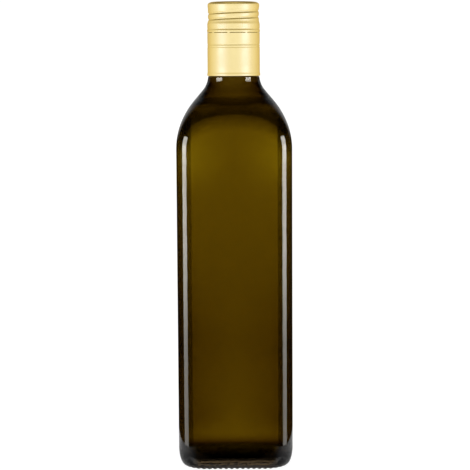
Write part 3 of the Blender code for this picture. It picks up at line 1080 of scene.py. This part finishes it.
# %% World
def make_world():
    world = bpy.data.worlds.new("studio")
    world.use_nodes = True
    tree = world.node_tree
    background = tree.nodes["Background"]
    place, x, depth, height = spot(tree, "Generated")
    tree.links.new(surround_strength(tree, depth, height), background.inputs["Strength"])
    tree.links.new(surround_color(tree, depth, height), background.inputs["Color"])
    bpy.context.scene.world = world
    print("world", world.name, "has", len(tree.nodes), "nodes")


make_world()
bpy.context.scene.view_settings.view_transform = "Standard"

# %% [markdown]
# The bottle stands on a pale table that glows a little, so that no shadow line shows where
# it ends. The polished heel mirrors the table at a very low angle, and this reflection
# draws the foot: a grey sheen on both sides, a dark zone in the middle, and a thin warm
# line where the standing ring nearly touches its own reflection. A table that is equally
# bright all over would veil the whole foot. So for sharp reflections alone its glow is a
# painted reflection that depends on the place: how far to the side it lies, and how near
# to the bottle. The sheen, the dark zone and the warm tint of the line are painted so.

# %% Painted sheen: glow of the table in sharp reflections
FLOOR_GLOW = 0.95
PAINTED_FOOT_WARMTH = (1.0, 0.68, 0.35, 1.0)
SHEEN_BY_SIDE = ((0.0, 0.0), (0.28, 0.0), (0.36, 0.1), (0.5, 0.15), (0.9, 1.0), (1.0, 1.0))
SHEEN_BY_REACH = ((0.0, 0.45), (0.045, 0.45), (0.060, 0.7), (0.080, 1.0), (0.2, 1.0))
FOOT_LINE = (
    (0.0, 0.5), (0.0335, 0.5), (0.0352, 0.35), (0.0370, 1.8), (0.0400, 1.5), (0.0430, 0.5),
    (0.0460, 0.0), (0.2, 0.0),
)
FOOT_LINE_BY_SIDE = ((0.0, 1.0), (0.45, 1.0), (0.70, 0.35), (1.0, 0.35))
COOL_BY_WIDTH = ((0.0, 0.0), (0.022, 0.0), (0.032, 1.0), (0.2, 1.0))
WARM_BY_DISTANCE = ((0.0, 0.3), (0.0352, 0.3), (0.0372, 1.0), (0.2, 1.0))


def table_glow_and_painted_sheen(tree):
    """Strength and colour of the table's glow: even to the eye, a painted sheen in mirrors."""
    place, x, y, height = spot(tree)
    across = math_node(tree, "ABSOLUTE", x)
    reach = math_node(tree, "POWER", x, 2.0)
    reach = math_node(tree, "ADD", reach, math_node(tree, "POWER", y, 2.0))
    reach = math_node(tree, "SQRT", reach)
    aside = math_node(tree, "DIVIDE", across, reach)
    sheen = ramp(tree, aside, SHEEN_BY_SIDE)
    sheen = math_node(tree, "MULTIPLY", sheen, ramp(tree, reach, SHEEN_BY_REACH))
    distance = math_node(tree, "MAXIMUM", across, math_node(tree, "ABSOLUTE", y))
    line = ramp(tree, distance, FOOT_LINE)
    line = math_node(tree, "MULTIPLY", line, ramp(tree, aside, FOOT_LINE_BY_SIDE))
    mirrored = math_node(tree, "MAXIMUM", sheen, line)
    warmth = math_node(tree, "SUBTRACT", 1.0, ramp(tree, across, COOL_BY_WIDTH))
    warmth = math_node(tree, "MULTIPLY", warmth, ramp(tree, distance, WARM_BY_DISTANCE))
    warmth = math_node(tree, "MULTIPLY", warmth, mirror_ray(tree))
    strength = mix(tree, "FLOAT", mirror_ray(tree), FLOOR_GLOW, mirrored)
    return strength, mix(tree, "RGBA", warmth, WHITE, PAINTED_FOOT_WARMTH)


# %% [markdown]
# The ground is two flat rings of points joined with faces: a small round table, and a wide
# floor with a hole for it. Only the table carries the painted sheen. The floor stays out of
# reflections, because there the panels below it stand for what a polished table mirrors.

# %% Table and floor
TABLE_RADIUS = 100 * MM
FLOOR_RADIUS = 6.0
FLOOR_BRIGHTNESS = 0.3
GROUND_CORNERS = 96


def make_ground(name, rim_radius, hole_radius=0.0):
    """A flat round table, or a floor with a hole in which the table lies."""
    angles = FULL_TURN * np.arange(GROUND_CORNERS) / GROUND_CORNERS
    circle = np.stack([np.cos(angles), np.sin(angles), 0 * angles], 1)
    here = np.arange(GROUND_CORNERS)
    after = (here + 1) % GROUND_CORNERS
    if hole_radius:
        points = np.concatenate([circle * rim_radius, circle * hole_radius])
        faces = np.stack([here, after, after + GROUND_CORNERS, here + GROUND_CORNERS], 1).tolist()
    else:
        points = circle * rim_radius
        faces = [here.tolist()]
    mesh = bpy.data.meshes.new(name)
    mesh.from_pydata(points.tolist(), [], faces)
    ground = bpy.data.objects.new(name, mesh)
    bpy.context.scene.collection.objects.link(ground)
    print(name, "reaches", rim_radius, "m from the axis")
    return ground


def make_ground_material(name, with_painted_sheen):
    """Pale and matt. The table's matt part is left out of sharp reflections."""
    material, tree, shader, output = new_material(name)
    grey = (FLOOR_BRIGHTNESS, FLOOR_BRIGHTNESS, FLOOR_BRIGHTNESS, 1.0)
    shader.inputs["Base Color"].default_value = grey
    shader.inputs["Roughness"].default_value = 0.9
    shader.inputs["Specular IOR Level"].default_value = 0.0
    shader.inputs["Emission Color"].default_value = WHITE
    shader.inputs["Emission Strength"].default_value = FLOOR_GLOW
    if with_painted_sheen:
        # In sharp reflections the table shows the painted sheen and warm line of the heel.
        strength, color = table_glow_and_painted_sheen(tree)
        tree.links.new(strength, shader.inputs["Emission Strength"])
        tree.links.new(color, shader.inputs["Emission Color"])
        matt = mix(tree, "FLOAT", mirror_ray(tree), FLOOR_BRIGHTNESS, 0.0)
        tree.links.new(matt, shader.inputs["Base Color"])
    return material


table = make_ground("studio_table", TABLE_RADIUS)
table.data.materials.append(make_ground_material("studio_table", True))
floor = make_ground("studio_floor", FLOOR_RADIUS, TABLE_RADIUS)
floor.data.materials.append(make_ground_material("studio_floor", False))
floor.visible_glossy = False

# %% [markdown]
# The softboxes are glowing panels that the camera doesn't see. The polished table mirrors
# them, so from the bottle each seems to go on below the table, and gets weaker there. In
# the glass each box is a slim strip, and on the satin cap a wider and cooler glow. One
# panel can't give both, so there are two on each side. The slim one serves sharp
# reflections, the wide one all others, and each lets the other's rays pass as if it
# weren't there.

# %% Panels beside the bottle
PANEL_DISTANCE = 1.25


def make_panel(name, side, azimuths, levels):
    """An upright panel beside the bottle, between two angles from the front."""
    foot, top = levels[0][0], levels[-1][0]
    ends = []
    for azimuth in azimuths:
        turn = -QUARTER_TURN + side * math.radians(azimuth)
        ends.append((PANEL_DISTANCE * math.cos(turn), PANEL_DISTANCE * math.sin(turn)))
    corners = [(*ends[0], foot), (*ends[1], foot), (*ends[1], top), (*ends[0], top)]
    mesh = bpy.data.meshes.new(name)
    mesh.from_pydata(corners, [], [(0, 1, 2, 3)])
    panel = bpy.data.objects.new(name, mesh)
    bpy.context.scene.collection.objects.link(panel)
    panel.visible_camera = False
    panel.visible_transmission = False
    print(name, "is", round(top - foot, 2), "m tall")
    return panel


# %% Glow of the panels
def make_panel_material(name, levels, color, for_mirrors):
    """Glows by height for sharp reflections or for all others, and is clear to the rest."""
    material, tree, shader, output = new_material(name)
    brightest = max(level for height, level in levels)
    stops = [(height, level / brightest) for height, level in levels]
    glow = new_node(tree, "ShaderNodeEmission")
    strength = math_node(tree, "MULTIPLY", ramp(tree, spot(tree)[3], stops), brightest)
    tree.links.new(strength, glow.inputs["Strength"])
    glow.inputs["Color"].default_value = color
    seen = mirror_ray(tree)
    if not for_mirrors:
        seen = math_node(tree, "SUBTRACT", 1.0, seen)
    clear = new_node(tree, "ShaderNodeBsdfTransparent")
    choice = new_node(tree, "ShaderNodeMixShader")
    for socket, value in zip(choice.inputs, (seen, clear.outputs[0], glow.outputs[0])):
        tree.links.new(value, socket)
    tree.links.new(choice.outputs[0], output.inputs["Surface"])
    return material


# %% Softboxes and wide lights
SOFTBOX_AZIMUTHS = (55.5, 83.5)
SOFTBOX_COLOR = (1.0, 0.98, 0.93, 1.0)
SOFTBOX_LEVELS = (
    (-0.40, 2.6), (-0.34, 2.8), (-0.28, 3.0), (-0.20, 3.4), (-0.14, 4.0), (-0.08, 5.8), (0.00, 8.6),
    (0.10, 9.6), (0.16, 14.0), (0.26, 13.0), (0.40, 10.0), (0.76, 10.0),
)
WIDE_LIGHT_AZIMUTHS = (36.0, 70.0)
WIDE_LIGHT_COLOR = (0.88, 0.95, 1.35, 1.0)
WIDE_LIGHT_LEVELS = ((-0.30, 1.5), (0.50, 1.5))

for kind, azimuths, levels, color, for_mirrors in (
    ("softbox", SOFTBOX_AZIMUTHS, SOFTBOX_LEVELS, SOFTBOX_COLOR, True),
    ("wide_light", WIDE_LIGHT_AZIMUTHS, WIDE_LIGHT_LEVELS, WIDE_LIGHT_COLOR, False),
):
    material = make_panel_material(kind, levels, color, for_mirrors)
    for label, side in (("left", -1), ("right", 1)):
        panel = make_panel(kind + "_" + label, side, azimuths, levels)
        panel.data.materials.append(material)
